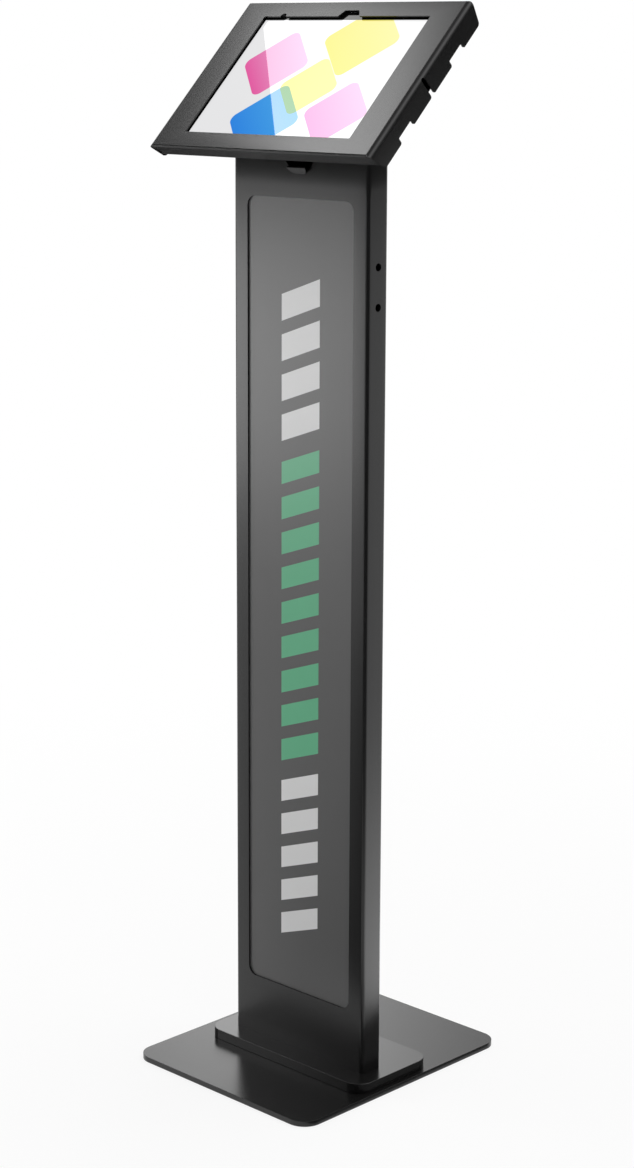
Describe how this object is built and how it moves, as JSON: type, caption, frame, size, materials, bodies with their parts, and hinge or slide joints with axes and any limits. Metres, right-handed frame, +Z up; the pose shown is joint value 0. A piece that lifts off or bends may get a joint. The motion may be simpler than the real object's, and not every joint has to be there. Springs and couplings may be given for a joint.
{
  "type": "tablet_kiosk_stand",
  "caption": "Floor stand for a tablet: flat steel base, folded column with a graphic panel, and a tilted locking tablet enclosure that turns on a swivel head",
  "frame": {"origin": "on the floor under the middle of the enclosure's width and of the base plate's depth", "axes": "+Z up along the column, -Y towards the person using the tablet, +X to that person's right"},
  "size_m": [0.3086, 0.308, 1.1245],
  "materials": {
    "powder_black": "satin black powder coat",
    "rubber_black": "matte black rubber",
    "zinc_steel": "bright zinc plate",
    "panel_grey": "satin dark grey sheet",
    "washer_plastic": "black acetal",
    "foam_black": "closed-cell black foam",
    "tablet_aluminium": "fine bead-blasted",
    "tablet_glass": "clear glass with a black border",
    "screen": "lit picture",
    "inner_plastic": "matte",
    "lock_chrome": "satin chrome"
  },
  "bodies": {
    "stand": {"base_plate": "powder_black", "base_pads": "rubber_black", "foot_plate": "powder_black", "foot_bolts": "zinc_steel", "column_shell": "powder_black", "column_sole": "zinc_steel", "graphic_panel": "panel_grey", "panel_retainers": "zinc_steel", "retainer_nuts": "zinc_steel", "back_cover": "powder_black", "back_cover_screws": "zinc_steel", "head_bracket": "powder_black", "bracket_screws": "zinc_steel"},
    "enclosure": {"swivel_rotor": "zinc_steel", "front_washer": "washer_plastic", "rear_washer": "zinc_steel", "ring_nut": "zinc_steel", "stop_pin": "zinc_steel", "rotor_screws": "zinc_steel", "enclosure_tray": "powder_black", "side_blocks": "foam_black", "back_pads": "foam_black", "tablet_housing": "tablet_aluminium", "tablet_glass": "tablet_glass", "tablet_display": "screen", "tablet_battery": "inner_plastic", "tablet_board": "inner_plastic", "tablet_camera": "inner_plastic", "lock_barrel": "lock_chrome", "lock_nut": "zinc_steel"},
    "cover": {"front_cover": "powder_black", "cover_gasket": "rubber_black"},
    "lock": {"lock_plug": "lock_chrome", "lock_cam": "zinc_steel", "cam_screw": "zinc_steel"},
    "power": {"power_button": "tablet_aluminium"},
    "volume_up": {"volume_up_button": "tablet_aluminium"},
    "volume_down": {"volume_down_button": "tablet_aluminium"}
  },
  "joints": [
    {"name": "head_swivel", "type": "hinge", "parent": "stand", "child": "enclosure", "pos_m": [0, -0.0331, 1.0523], "axis": [0, -0.7071, 0.7071], "range_deg": [0, 90]},
    {"name": "cover_lift", "type": "slide", "parent": "enclosure", "child": "cover", "axis": [0, -0.7071, 0.7071], "range_m": [0, 0.05]},
    {"name": "lock_turn", "type": "hinge", "parent": "enclosure", "child": "lock", "pos_m": [-0.1385, -0.0331, 1.0523], "axis": [0, -0.7071, 0.7071], "range_deg": [0, 90]},
    {"name": "power_press", "type": "slide", "parent": "enclosure", "child": "power", "axis": [1, 0, 0], "range_m": [0, 0.0003], "stiffness_N_per_m": 2000},
    {"name": "volume_up_press", "type": "slide", "parent": "enclosure", "child": "volume_up", "axis": [0, -0.7071, -0.7071], "range_m": [0, 0.0003], "stiffness_N_per_m": 2000},
    {"name": "volume_down_press", "type": "slide", "parent": "enclosure", "child": "volume_down", "axis": [0, -0.7071, -0.7071], "range_m": [0, 0.0003], "stiffness_N_per_m": 2000}
  ]
}
